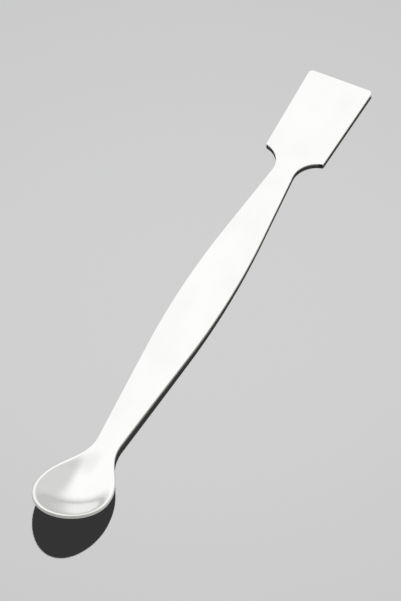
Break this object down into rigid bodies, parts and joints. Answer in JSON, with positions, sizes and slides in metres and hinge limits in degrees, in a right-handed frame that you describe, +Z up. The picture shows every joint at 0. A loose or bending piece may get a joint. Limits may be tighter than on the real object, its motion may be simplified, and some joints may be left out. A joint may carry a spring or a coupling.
{
  "type": "lab spatula",
  "caption": "Lab spatula pressed from one strip of stainless steel sheet, with a flat square blade, a waisted flat handle and a small upturned spoon for scooping and scraping powders.",
  "frame": {"origin": "middle of the overall length and width, on the bench that the spatula lies on", "axes": "+X along the length towards the spoon, +Z up from the bench, the blade flat on Z = 0"},
  "size_m": [0.18, 0.0206, 0.0105],
  "materials": {
    "stainless_steel": "bright satin polish"
  },
  "bodies": {
    "root": {"spatula": "stainless_steel"}
  },
  "joints": []
}
